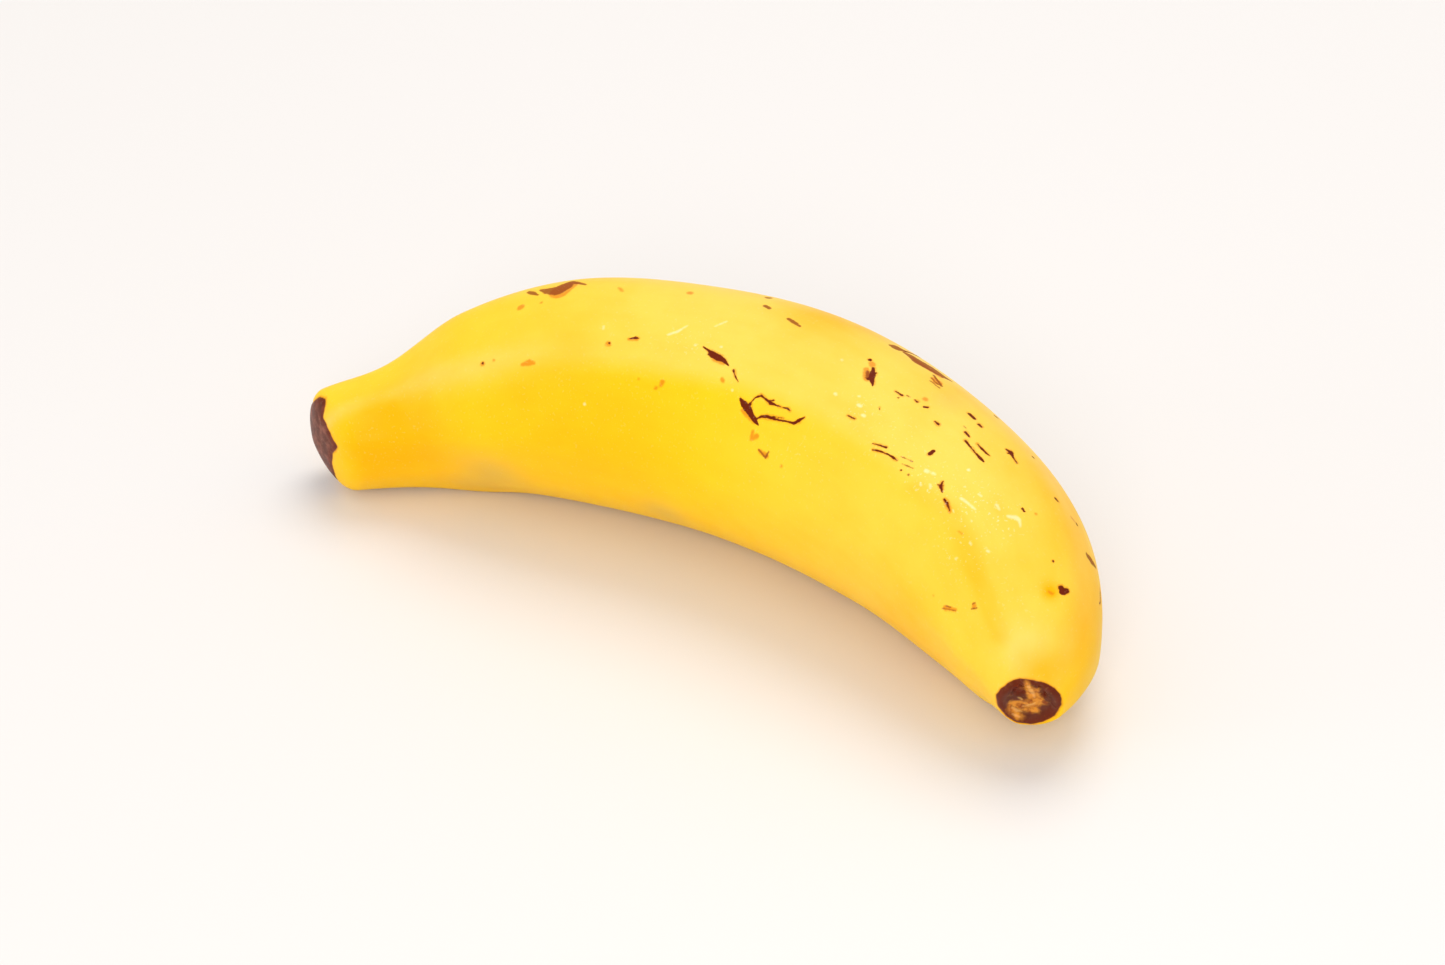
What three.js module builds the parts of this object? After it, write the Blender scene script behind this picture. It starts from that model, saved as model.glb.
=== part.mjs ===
// One ripe banana, picked and lying on its side. The cut stem is at -X and the blossom end at +X,
// with the inside of the curve towards -Y. The fruit is one grown piece, so it is one closed solid.
// Lengths are in millimetres and angles in degrees. +Z is up, and the origin is on the table,
// under the middle of the fruit's bounding box.
//
// The body is a stack of rings along a bent spine. A ring is round, with five soft ridges that
// stand out more towards the two ends. Round a ring, 0 is the inside of the curve, 90 is up and
// 180 is the outside of the curve.

import * as THREE from "three";

// Driving sizes
const SPINE_LENGTH = 146; // along the middle of the fruit, from the cut stem to the blossom end
const CUT_SKEW = 16; // how far the cut face of the stem is turned from square, towards the inside
const CUT_REACH = 0.16; // the share of the spine over which the rings slant into that cut

// The body at places along the spine, as a share of its length. Heading is the spine's direction
// in plan, tilt is how far it climbs, and radius is the mean radius. Gap lies between the lowest
// point and the table. Relief is a ridge's height as a share of the radius, and twist turns the
// ridges.
const STATIONS = [
  { along: 0.0, heading: 46, tilt: 3, radius: 8.7, gap: 0.8, relief: 0.06, twist: 16 },
  { along: 0.07, heading: 38.5, tilt: 9, radius: 10.3, gap: 0.65, relief: 0.08, twist: 14 },
  { along: 0.16, heading: 27, tilt: 13, radius: 15.0, gap: 0.35, relief: 0.065, twist: 2 },
  { along: 0.28, heading: 15.5, tilt: 8, radius: 18.5, gap: 0.35, relief: 0.045, twist: 0 },
  { along: 0.42, heading: 6, tilt: 3, radius: 19.7, gap: 0.35, relief: 0.03, twist: 0 },
  { along: 0.57, heading: -9, tilt: 0, radius: 20.0, gap: 0.35, relief: 0.03, twist: 4 },
  { along: 0.72, heading: -20, tilt: -5, radius: 18.5, gap: 0.35, relief: 0.035, twist: 8 },
  { along: 0.85, heading: -36, tilt: -11, radius: 16.2, gap: 0.35, relief: 0.05, twist: 11 },
  { along: 0.94, heading: -52, tilt: -16, radius: 11.9, gap: 1.3, relief: 0.08, twist: 12 },
  { along: 0.98, heading: -61, tilt: -17, radius: 7.9, gap: 3.4, relief: 0.07, twist: 12 },
  { along: 1.0, heading: -66, tilt: -17, radius: 5.2, gap: 4.6, relief: 0.04, twist: 12 },
];

// The five ridges of the peel. The one on top and the two beside it show best.
const RIDGES = [
  { angle: 6, strength: 0.9 },
  { angle: 46, strength: 1.1 },
  { angle: 102, strength: 1.0 },
  { angle: 192, strength: 1.0 },
  { angle: 280, strength: 1.0 },
];
const RIDGE_WIDTH = 24; // half the angle that one ridge takes, at half its height

// Three spots where the skin meets the table, along the spine. Each is pressed flat.
const REST_SPOTS = [0.14, 0.52, 0.88];
const REST_DEPTH = 0.65; // how far the lowest skin sags towards the table at a spot
const REST_LENGTH = 6; // the half-length of that sag
const REST_HEIGHT = 3; // and the height over the table at which it has mostly faded

// The cut stem is a low dome, and the blossom end a disc with a rim and a shallow cup. Each is
// a list of circles from the edge to the middle: share of the end ring's size, height above it.
const STEM_FACE = [
  { size: 0.985, height: 0.5 },
  { size: 0.94, height: 1.2 },
  { size: 0.86, height: 1.9 },
  { size: 0.72, height: 2.5 },
  { size: 0.5, height: 3.0 },
  { size: 0.25, height: 3.2 },
];
const STEM_FACE_CENTRE = 3.2;
const TIP_FACE = [
  { size: 0.93, height: 0.45 },
  { size: 0.78, height: 0.4 },
  { size: 0.58, height: -0.3 },
  { size: 0.3, height: -0.5 },
];
const TIP_FACE_CENTRE = 0.1;

// How finely the skin is divided
const RINGS = 78; // along the spine
const SIDES = 46; // round a ring
const RING_CROWDING = 0.45; // how much closer the rings lie at the two ends
const SPINE_STEPS = 400; // steps used to add up the spine's course

const radians = THREE.MathUtils.degToRad;

// A smooth curve through one value of the stations, read at a share of the spine.
function station(key, along) {
  const last = STATIONS.length - 2;
  const i = STATIONS.findIndex((s, k) => k === last || STATIONS[k + 1].along > along);
  const slopeAt = (k) => {
    const before = STATIONS[Math.max(k - 1, 0)];
    const after = STATIONS[Math.min(k + 1, last + 1)];
    return (after[key] - before[key]) / (after.along - before.along);
  };
  const from = STATIONS[i];
  const to = STATIONS[i + 1];
  const span = to.along - from.along;
  const t = (along - from.along) / span;
  const rise = t * t * (3 - 2 * t);
  const leave = t * (1 - t) * (1 - t) * span * slopeAt(i);
  const arrive = t * t * (1 - t) * span * slopeAt(i + 1);
  return from[key] + (to[key] - from[key]) * rise + leave - arrive;
}

// A point of the spine in plan, found by adding up short steps from the stem.
function spinePoint(along) {
  const point = new THREE.Vector2();
  const step = along / SPINE_STEPS;
  for (let i = 0; i < SPINE_STEPS; i += 1) {
    const turn = radians(station("heading", (i + 0.5) * step));
    point.x += Math.cos(turn) * step * SPINE_LENGTH;
    point.y += Math.sin(turn) * step * SPINE_LENGTH;
  }
  return point;
}

// The outline of a ring before it is sized: a radius of about 1 for each side.
function ringOutline(along) {
  const relief = station("relief", along);
  const twist = station("twist", along);
  const outline = [];
  for (let side = 0; side < SIDES; side += 1) {
    const angle = (360 * side) / SIDES;
    let reach = 1;
    for (const ridge of RIDGES) {
      const away = THREE.MathUtils.euclideanModulo(angle - ridge.angle - twist + 180, 360) - 180;
      reach += (relief * ridge.strength) / (1 + (away / RIDGE_WIDTH) ** 2);
    }
    outline.push(reach);
  }
  const mean = outline.reduce((sum, reach) => sum + reach, 0) / SIDES;
  return outline.map((reach) => reach / mean);
}

// The height of a point of the skin once it sags at the rest spots. What would go below the
// table is pressed flat.
function settled(height, along) {
  let sag = 0;
  for (const spot of REST_SPOTS) {
    const away = ((along - spot) * SPINE_LENGTH) / REST_LENGTH;
    sag += REST_DEPTH * Math.exp(-away * away);
  }
  return Math.max(0, height - sag * Math.exp(-((height / REST_HEIGHT) ** 2)));
}

// One ring of the skin as points. Size shrinks it, and push moves it out along the spine.
function ring(along, size = 1, push = 0) {
  const outline = ringOutline(along);
  const radius = station("radius", along);
  const turn = radians(station("heading", along));
  const rise = radians(station("tilt", along));
  const forward = new THREE.Vector3(
    Math.cos(turn) * Math.cos(rise),
    Math.sin(turn) * Math.cos(rise),
    Math.sin(rise),
  );
  const inner = new THREE.Vector3(Math.sin(turn), -Math.cos(turn), 0);
  const up = new THREE.Vector3().crossVectors(forward, inner).negate();
  const angleOf = (side) => (2 * Math.PI * side) / SIDES;
  const depth = Math.max(...outline.map((reach, side) => -reach * Math.sin(angleOf(side))));
  const plan = spinePoint(along);
  const height = radius * depth * Math.cos(rise) + station("gap", along);
  const centre = new THREE.Vector3(plan.x, plan.y, height).addScaledVector(forward, push);
  const slant = Math.tan(radians(CUT_SKEW)) * Math.max(0, 1 - along / CUT_REACH) ** 2;
  return outline.map((reach, side) => {
    const inwards = radius * size * reach * Math.cos(angleOf(side));
    const upwards = radius * size * reach * Math.sin(angleOf(side));
    const point = centre.clone().addScaledVector(forward, inwards * slant);
    point.addScaledVector(inner, inwards).addScaledVector(up, upwards);
    point.z = settled(point.z, along);
    return point;
  });
}

// All rings from the middle of the stem's face, over the body, to the middle of the tip's disc.
function bodyRings() {
  const rings = [...STEM_FACE].reverse().map((f) => ring(0, f.size, -f.height));
  for (let i = 0; i <= RINGS; i += 1) {
    const even = i / RINGS;
    const crowding = (RING_CROWDING * Math.sin(2 * Math.PI * even)) / (2 * Math.PI);
    rings.push(ring(even - crowding));
  }
  TIP_FACE.forEach((f) => rings.push(ring(1, f.size, f.height)));
  return rings;
}

// The closed skin: bands of triangles between the rings, and a fan over each end.
function bananaGeometry() {
  const rings = bodyRings();
  const stemCentre = ring(0, 0, -STEM_FACE_CENTRE)[0];
  const tipCentre = ring(1, 0, TIP_FACE_CENTRE)[0];
  const points = [...rings.flat(), stemCentre, tipCentre];
  const corner = (row, side) => row * SIDES + (side % SIDES);
  const stem = points.length - 2;
  const tip = points.length - 1;
  const lastRow = rings.length - 1;
  const faces = [];
  for (let side = 0; side < SIDES; side += 1) {
    faces.push(stem, corner(0, side), corner(0, side + 1));
    for (let row = 0; row < lastRow; row += 1) {
      const near = [corner(row, side), corner(row, side + 1)];
      const far = [corner(row + 1, side), corner(row + 1, side + 1)];
      faces.push(near[0], far[0], near[1]);
      faces.push(near[1], far[0], far[1]);
    }
    faces.push(tip, corner(lastRow, side + 1), corner(lastRow, side));
  }

  // The chord from stem to tip lies along X.
  const end = spinePoint(1);
  const chordTurn = new THREE.Matrix4().makeRotationZ(-Math.atan2(end.y, end.x));
  points.forEach((p) => p.applyMatrix4(chordTurn));

  const geometry = new THREE.BufferGeometry().setFromPoints(points);
  geometry.setIndex(faces);
  geometry.computeBoundingBox();
  const middle = geometry.boundingBox.getCenter(new THREE.Vector3());
  geometry.translate(-middle.x, -middle.y, 0);
  geometry.computeVertexNormals();
  return geometry;
}

const peel = new THREE.MeshStandardMaterial({ color: 0xf7c91f, roughness: 0.45, metalness: 0 });

const banana = new THREE.Mesh(bananaGeometry(), peel);
banana.name = "banana";

const fruit = new THREE.Group();
fruit.add(banana);

export default fruit;
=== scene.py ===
"""A ripe banana, short and plump, lying on its side on a pale table.

The skin starts as a flat sheet of rows and columns. Each corner of the sheet knows its place
along the fruit, its angle round it and its share of the ring's size. A Geometry Nodes tree wraps
the sheet round a bent spine, raises the five ridges, settles the fruit on the table and presses
in the dimples. The sheet is finer near the marks, which are drawn as strokes on the skin.

Lengths are in metres and angles in degrees. +Z is up. The cut stem is at -X, the blossom end at
+X, and the inside of the curve faces -Y. Round the fruit, 0 is the inside of the curve, 90 is up
and 180 is the outside of the curve.
"""
import math
import random

import bmesh
import bpy
import numpy as np
from bpy.props import FloatProperty, FloatVectorProperty, IntProperty, PointerProperty
from mathutils import Euler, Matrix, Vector
from mathutils.bvhtree import BVHTree


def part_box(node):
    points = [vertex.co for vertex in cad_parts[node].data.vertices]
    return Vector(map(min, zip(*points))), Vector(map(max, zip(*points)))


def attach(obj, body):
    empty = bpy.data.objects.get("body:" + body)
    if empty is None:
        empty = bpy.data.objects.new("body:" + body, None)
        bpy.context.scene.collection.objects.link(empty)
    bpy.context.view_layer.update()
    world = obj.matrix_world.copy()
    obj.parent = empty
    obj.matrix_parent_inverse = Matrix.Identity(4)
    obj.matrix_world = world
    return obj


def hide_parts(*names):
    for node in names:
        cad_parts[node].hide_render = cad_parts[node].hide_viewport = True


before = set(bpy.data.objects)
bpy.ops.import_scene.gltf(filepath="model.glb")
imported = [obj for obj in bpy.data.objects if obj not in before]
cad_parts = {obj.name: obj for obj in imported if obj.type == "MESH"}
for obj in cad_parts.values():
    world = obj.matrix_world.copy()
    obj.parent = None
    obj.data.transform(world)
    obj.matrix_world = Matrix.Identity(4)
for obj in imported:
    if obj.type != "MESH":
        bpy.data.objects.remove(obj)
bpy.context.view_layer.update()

bl_info = {
    "name": "Ripe banana",
    "version": (1, 0, 0),
    "blender": (4, 5, 0),
    "location": "3D View > Sidebar > Banana",
    "description": "Builds a ripe banana lying on its side, with its skin, marks, table and light",
    "category": "Object",
}

MM = 0.001

# The fruit's form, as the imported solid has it. The cut stem is skewed towards the inside of the
# curve, and the rings slant into that cut over a share of the spine.
SPINE_LENGTH = 0.146
CUT_SKEW = 16
CUT_REACH = 0.16
STATION_KEYS = ("along", "heading", "tilt", "radius", "gap", "relief", "twist")
STATIONS = (
    (0.00, 46.0, 3, 0.0087, 0.00080, 0.060, 16),
    (0.07, 38.5, 9, 0.0103, 0.00065, 0.080, 14),
    (0.16, 27.0, 13, 0.0150, 0.00035, 0.065, 2),
    (0.28, 15.5, 8, 0.0185, 0.00035, 0.045, 0),
    (0.42, 6.0, 3, 0.0197, 0.00035, 0.030, 0),
    (0.57, -9.0, 0, 0.0200, 0.00035, 0.030, 4),
    (0.72, -20.0, -5, 0.0185, 0.00035, 0.035, 8),
    (0.85, -36.0, -11, 0.0162, 0.00035, 0.050, 11),
    (0.94, -52.0, -16, 0.0119, 0.00130, 0.080, 12),
    (0.98, -61.0, -17, 0.0079, 0.00340, 0.070, 12),
    (1.00, -66.0, -17, 0.0052, 0.00460, 0.040, 12),
)
RIDGES = ((6, 0.9), (46, 1.1), (102, 1.0), (192, 1.0), (280, 1.0))  # angle and strength
RIDGE_WIDTH = 24
REST_SPOTS = (0.14, 0.52, 0.88)
REST_DEPTH = 0.00065
REST_LENGTH = 0.006
REST_HEIGHT = 0.003
# Circles over each end face: share of the end ring's size, and height above it in mm
STEM_FACE = (
    (0, 3.2), (0.25, 3.2), (0.5, 3.0), (0.72, 2.5), (0.86, 1.9), (0.94, 1.2), (0.985, 0.5), (1, 0))
TIP_FACE = ((1, 0), (0.93, 0.45), (0.78, 0.4), (0.58, -0.3), (0.3, -0.5), (0, 0.1))

# How finely the form is worked out
SPINE_STEPS = 4000
ANGLE_STEP = 3.0
STEM_CIRCLES = 15
TIP_CIRCLES = 13
RING_CROWDING = 0.45  # how much closer the rings lie at the two ends
FACE_HEIGHT_WEIGHT = 0.15  # how much a face's height counts when its circles are spaced
SEAM_ANGLE = -90.0
REFINE_REACHES = (0.0008, 0.0005)  # the sheet is halved this near to any mark, once for each
SHARP_REACHES = (0.0003,)  # and this near to the sharp ones
FAR_FROM_MARKS = 0.003

# Relief that is finer than the solid's. It only goes in, and is nothing at the table.
SKIN_INSET = 0.00006
CREST_WIDTH = 15.0
HOLLOW_FACES = 0.6
RIPPLE_SIZE = 0.02
RELIEF_CLEARANCE = 0.004  # the height over the table from which the relief is whole
SEAM_MERGE = 0.000002
DRY_MARK_DEPTH, DRY_MARK_EDGE = 0.00005, 0.00015
BRUISE_DEPTH, BRUISE_EDGE = 0.00003, 0.0003
END_GROOVE_DEPTH, END_GROOVE_WIDTH = 0.00012, 0.00035
PIT_DEPTH, PIT_EDGE = 0.0004, 0.0003

# The brown and the dark marks reach this much past the edges that were read from the photograph
DISC_GROWTH = 0.0003
DARK_GROWTH = 0.00001
WIDEST_STROKE = 2.4  # a stroke on slanting skin, as a multiple of its width in the picture

# Marks on the hidden sides: kind, how many, half-width and greatest length
HIDDEN_MARKS = (
    ("dark", 44, 0.00026, 0.0034),
    ("rust", 10, 0.0004, 0.002),
    ("amber", 24, 0.0004, 0.0016),
    ("pale", 18, 0.0002, 0.002),
)
HIDDEN_PLACES = (0.12, 0.92)
HIDDEN_ANGLES = (155, 290)
DOT_LENGTH = 0.0008  # a shorter mark is a dot
# The turn and the bend of a streak in degrees, each as a mean and a spread. The turn is that of a
# streak of STREAK_LENGTH, and a shorter one turns less.
STREAK_TURN = (-5, 9)
STREAK_BEND = (0, 2)
STREAK_LENGTH = 0.002
# How fat a dot and a streak are: share of the length, share of the greatest half-width
DOT_SHAPE = ((0, 0.9), (1, 1.0))
STREAK_SHAPE = ((0, 0.3), (0.35, 1.0), (0.7, 0.6), (1, 0.2))
# The spine's length in radii of the fruit, and the degrees that span one radius round it
SPINE_RADII = 7
RADIUS_ANGLE = 60

# The view of the photograph, and the camera that was fitted to the fruit's outline in it
PHOTO_WIDTH, PHOTO_HEIGHT = 1445, 965
LOOK_AT = (-0.0123, 0.0144, 0.0)
VIEW_DISTANCE = 0.5605
VIEW_ELEVATION = 33
VIEW_TURN = 34.1
LENS = 84.7
SENSOR = 36

# Marks as strokes. Each point is a pixel of the photograph and the stroke's width there, in pixels.
DARK_MARKS = (
    ((906, 351, 1.5), (915, 354.5, 2), (924, 359.5, 2.5), (934, 366, 2.2), (944, 373, 2), (953, 379.5, 1)),
    ((703, 346.5, 1), (708.5, 350, 2.5), (714, 355, 6.5), (719.5, 358, 6.5), (724, 360.5, 4),
     (728.5, 365.5, 1)),
    ((708.5, 354, 2), (712, 355, 5)),
    ((733.5, 370, 2), (734.5, 375, 1.5), (738, 381.5, 0.8)),
    ((740, 398.5, 2.5), (743.5, 404, 6.5), (748, 409.5, 7.5), (751, 415, 5.5), (754.5, 420, 5),
     (758, 425, 1.5)),
    ((748, 408, 2), (750, 404, 3)),
    ((750.5, 403, 1), (755, 397.5, 1.2), (761, 395.5, 2.2), (766, 399.5, 1.6), (770.5, 403, 3.5),
     (777, 405.5, 1.2), (783.5, 407.5, 1), (787.5, 408.5, 2), (790, 410.5, 0.8)),
    ((768.5, 401, 1.5), (774, 400, 0.8)),
    ((755, 419.5, 1.5), (761, 416.5, 2), (767, 416.5, 3.5), (771, 418, 3), (778.5, 420, 1.8),
     (787.5, 421.5, 1.6), (794, 423, 3), (799, 420, 3.5), (804, 417.5, 1.5)),
    ((772, 416.5, 1), (783.5, 418, 0.6)),
    ((847.5, 415.3, 0.8), (854.5, 418.5, 1.6)),
    ((870, 359.5, 3.2), (870.5, 360, 2)),
    ((873.5, 367.5, 2.6), (872.5, 374.5, 6.5), (871.5, 378, 6), (872.5, 382.5, 3.5), (872.7, 385.5, 1.2)),
    ((876, 372.5, 1.5), (868.5, 378.5, 3)),
    ((896, 391, 0.9), (902, 395, 1.7)),
    ((915, 399.5, 1.2), (917.5, 401.5, 1.8)),
    ((924, 406.5, 1.8), (927.5, 407, 2)),
    ((935, 421, 1.3), (938.5, 424, 2)),
    ((879.5, 407.5, 1.2), (879.7, 409.5, 1.2)),
    ((969.5, 413.5, 2), (974.5, 418, 2.2)),
    ((979, 424, 2), (981.5, 426.5, 1.6)),
    ((996.5, 416.5, 2.4), (996.8, 416.8, 2)),
    ((965.5, 432, 2), (969.5, 436.5, 1)),
    ((965.5, 440.5, 2.2), (969.5, 445.5, 1.6), (975.5, 452.5, 1.3), (980, 457.5, 2.8), (983.5, 461, 2)),
    ((977.5, 443.5, 0.8), (981.5, 448, 1.8), (986.5, 453, 1.6), (990, 455.5, 0.8)),
    ((1006.5, 449, 1), (1011, 452, 3.5), (1012.5, 455.5, 1.8), (1017, 462.5, 0.9)),
    ((1008, 453, 1), (1011, 452, 2)),
    ((872.5, 443.3, 0.8), (879.5, 445, 1.5), (886.5, 447.3, 2)),
    ((872.5, 449.5, 0.8), (880.5, 451.2, 1.8), (888.5, 454.5, 1.2), (892.5, 457, 2.2), (897, 460, 1)),
    ((929.8, 453.5, 3.5), (933.5, 450.7, 3.2)),
    ((901, 470, 1.8), (901.3, 470.2, 1.6)),
    ((1033.5, 457, 1.4), (1033.8, 457.3, 1.2)),
    ((943, 481, 1.2), (940.5, 485.5, 2.6), (942, 492, 1)),
    ((944.5, 499, 1.6), (947, 503, 2), (949.5, 510.5, 1)),
    ((1022.5, 508.5, 2), (1024.3, 511, 1.8)),
    ((1056, 498.3, 1.4), (1058, 500.5, 1.3)),
    ((1077, 523.5, 1.2), (1077.6, 524.8, 1)),
    ((1053.3, 560.5, 1.5), (1053.4, 561.5, 1.3)),
    ((1061.5, 587.5, 5), (1063.5, 591, 7), (1067.5, 590.3, 4.5)),
    ((482.5, 363, 3), (482.8, 363.4, 2)),
    ((609, 343, 2), (609.3, 343.3, 1.5)),
    ((630, 338.3, 1.2), (635, 337.5, 2.6), (638.5, 338.3, 1)),
)
RUST_MARKS = (
    ((540.5, 289.8, 1.5), (548, 290.5, 5), (558, 289.8, 8), (565, 286, 7), (571, 281.8, 3.5),
     (577, 282.5, 2.5), (585.5, 284.3, 1)),
    ((528.5, 291.7, 2), (532.5, 292.8, 3.2), (538, 294.8, 1)),
    ((891.5, 345.5, 2.5), (897, 347.5, 6), (903, 350, 4)),
    ((905, 352.5, 2.5), (911.5, 356, 5), (919, 361.5, 7), (929, 367, 8), (937, 372, 7), (945, 377, 4),
     (952, 381, 1.5)),
    ((758.5, 449.7, 1.8), (762, 453.7, 1.8), (765, 458, 2.2), (768.5, 452, 2.2)),
    ((937.5, 484.5, 2), (941, 485.5, 4), (942, 491, 1.6)),
    ((945, 500, 2.6), (947, 504, 3.4), (949.5, 509.5, 1.6)),
    ((1087.5, 555, 2.4), (1091.5, 560.5, 3.8), (1096, 567, 1.6)),
    ((867.5, 371, 3), (868.5, 377, 6)),
    ((930.5, 380.5, 1), (939.5, 387.5, 1.1)),
    ((934, 375, 1.1), (941.5, 385.5, 1.8)),
    ((931.5, 377.5, 0.9), (938, 384, 1.2)),
    ((942.5, 376.5, 1.6), (942.8, 377, 1.3)),
    ((898.5, 397.3, 1.8), (898.8, 397.5, 1.5)),
    ((906.8, 395, 1), (910, 396.7, 1.2)),
    ((964.2, 425.7, 1), (966, 427.7, 1.2)),
    ((788.5, 318.5, 2.4), (794, 322, 3.2), (800, 326, 1.6)),
    ((768, 297.5, 2.8), (771, 297.5, 1.8)),
    ((765, 305.5, 2.4), (769.5, 308, 2.2)),
    ((901, 456.3, 0.8), (912.5, 461.4, 1.1)),
    ((902.3, 463.7, 0.8), (912.8, 468.1, 1.2)),
    ((908.3, 474.7, 2.4), (908.7, 475, 2)),
    ((942, 608.4, 1), (949, 609.5, 1.2), (955.5, 611, 0.8)),
    ((946, 606, 1.2), (950, 607.3, 0.9)),
    ((971.3, 609.2, 1.4), (976.4, 608, 1.2)),
    ((972.5, 604, 1), (974.8, 602.7, 1.2)),
)
AMBER_MARKS = (
    ((521.5, 364.5, 2.5), (528.5, 362.8, 6.5), (534.5, 363, 3)),
    ((482.5, 363.5, 5), (483, 363.5, 4)),
    ((493.7, 360.2, 2.8), (494, 360.4, 2.4)),
    ((608, 343.7, 5.5), (608.6, 343.8, 5)),
    ((629, 339, 3), (637, 338.5, 4)),
    ((619, 287.5, 2), (622.5, 290.5, 2.2)),
    ((520.5, 307, 4.5), (521, 306.8, 4)),
    ((541, 302.3, 2.8), (541.3, 302.5, 2.4)),
    ((690, 292.7, 3.4), (690.5, 292.9, 3)),
    ((662.3, 382, 5.2), (661, 384.5, 4)),
    ((655.5, 388.2, 3.8), (656, 388, 3.2)),
    ((638.4, 378.8, 2.6), (638.7, 379, 2.2)),
    ((722, 379, 4.4), (723, 381, 4)),
    ((752.5, 431.5, 3.5), (751.5, 438.3, 4.6), (756.5, 436, 5)),
    ((781, 466.2, 3.2), (781.3, 466.4, 2.8)),
    ((744, 410, 7), (751, 418, 6)),
    ((759.5, 451, 4), (766, 456, 5)),
    ((866.5, 369, 6), (867.5, 378, 9)),
    ((872, 363, 6), (872.5, 365, 6)),
    ((716, 358, 8), (724, 363, 4)),
    ((925.3, 399, 4), (925.8, 399.3, 3.6)),
    ((935, 379, 4), (938, 382, 5)),
    ((913, 358, 3), (925, 366, 4), (940, 376, 3)),
    ((560, 291, 11), (570, 285, 7)),
    ((941, 486, 6), (942, 490, 4)),
    ((947, 504, 6), (950, 511, 4)),
    ((958.5, 531, 1.6), (962, 534, 1.6)),
    ((1036, 513.5, 2), (1036.4, 513.8, 1.8)),
    ((1072, 517.5, 1.6), (1074.5, 520.7, 1.6)),
    ((1049.5, 591, 3), (1053, 592.5, 3)),
    ((933, 595.6, 2), (933.4, 595.8, 1.8)),
    ((945, 608, 5), (955, 610, 4)),
    ((974, 606, 5), (974.5, 606.4, 4)),
)
PALE_MARKS = (
    ((668, 334.5, 1.8), (678, 331, 2.4), (687, 325.5, 1)),
    ((603.5, 326, 2), (603.6, 328.5, 2)),
    ((695, 344.5, 2.4), (695.5, 345.2, 2)),
    ((715, 326, 1), (727, 321, 1.4)),
    ((835.3, 393.5, 3.4), (836, 394.5, 2.6)),
    ((841.8, 359.5, 2.4), (842, 359.8, 2)),
    ((721, 346.5, 2.4), (721.4, 346.8, 2)),
    ((732, 390, 2.4), (732.3, 390.4, 2)),
    ((926, 470.5, 4), (928, 471.5, 3)),
    ((933, 473, 3.4), (934.5, 474, 2.6)),
    ((863, 415, 3.6), (864, 416, 3)),
    ((858, 404.5, 2.6), (860.5, 406, 3)),
    ((859, 396, 2.2), (859.6, 396.4, 1.8)),
    ((968.5, 469.5, 3), (969, 470, 2.4)),
    ((996.5, 504.5, 2.6), (999.5, 509.5, 1.8)),
    ((1008, 516, 2.4), (1016, 517.5, 4.2), (1019.5, 520, 3), (1020.5, 526.5, 1.4)),
    ((961, 498, 2.6), (967, 502.5, 2.6), (975, 509, 2.2)),
    ((979, 494, 2.4), (981.5, 496, 1.8)),
    ((920.5, 484.5, 2.8), (921, 485, 2)),
    ((930, 484, 2), (930.5, 488, 2.4)),
    ((970, 543, 2.2), (971, 544.5, 1.6)),
    ((987.5, 551, 2.4), (989, 551.5, 1.8)),
    ((955.5, 559, 1.8), (957, 558, 1.4)),
    ((584.3, 404, 2.4), (584.6, 404.4, 2)),
)
# The edge of the brown on the stem and on the blossom end where the photograph shows it, in pixels.
# On the stem's far side it is given as angles and radii round the end, in degrees and mm.
STEM_EDGE = (
    (319.5, 396.5), (324, 398.5), (325.2, 404), (323, 412), (321.8, 417.5), (325, 424), (329, 433),
    (332.5, 441), (336.3, 447), (334.5, 451), (331.6, 454), (331, 463), (333.5, 472), (337, 480),
    (340.5, 486.5))
STEM_FAR_EDGE = ((-120, 8.9), (-135, 9.4), (-160, 8.7), (180, 9.2), (160, 8.2), (145, 7.6), (130, 6.8))
TIP_EDGE = (
    (997, 697), (1000.5, 690.5), (1008, 685), (1013.5, 682), (1019, 680.5), (1032, 682), (1045, 685),
    (1054, 689), (1060, 696), (1059.5, 705), (1052, 715), (1042, 721.5), (1030, 723.7), (1017.5, 722),
    (1008, 717), (1000, 708))
# The wet middle of the blossom end: amber strokes, golden streaks with painted glints over them, and the
# dark pit
CORE_STROKES = (
    ((1026.5, 685, 6), (1030, 691, 9), (1035, 697, 10), (1040, 701.5, 8)),
    ((1010, 704, 8), (1011.5, 710, 11), (1016, 714, 10), (1021, 717, 6)),
    ((1014, 704, 8), (1020, 706, 8), (1030, 706, 9), (1041, 703, 6)),
    ((1022, 710, 5), (1033, 709, 7), (1038, 705, 5)),
)
# Golden streaks, partly painted glints on the wet core
CORE_STREAKS_AND_GLINTS = (
    ((1018.5, 698, 1), (1021.5, 699.5, 1.4)),
    ((1028.5, 688, 2.4), (1031, 692, 3.4), (1034.5, 697.5, 2)),
    ((1012, 707.5, 1.4), (1017, 710.5, 3), (1021.5, 711.5, 1)),
    ((1023, 706.5, 1), (1030, 705.5, 2.2), (1035, 703.5, 1)),
    ((1012.5, 714, 1), (1016, 715.5, 2.6), (1020, 717, 1)),
)
# The pit is pressed in and painted dark as the shade in its hollow
CORE_PIT = (((1015, 685.5, 6), (1017.5, 689, 10), (1020, 693, 8)), ((1039.5, 690, 3), (1043, 697, 3)))
# Dimples: a pixel of the photograph, the dimple's radius and its depth
DIMPLES = (
    ((1052, 592), 0.0016, 0.0004), ((350, 460), 0.0012, 0.00015), ((1043, 674), 0.0032, 0.00055),
    ((1016, 672), 0.0025, 0.0002), ((382, 440), 0.008, 0.00035))
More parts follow.
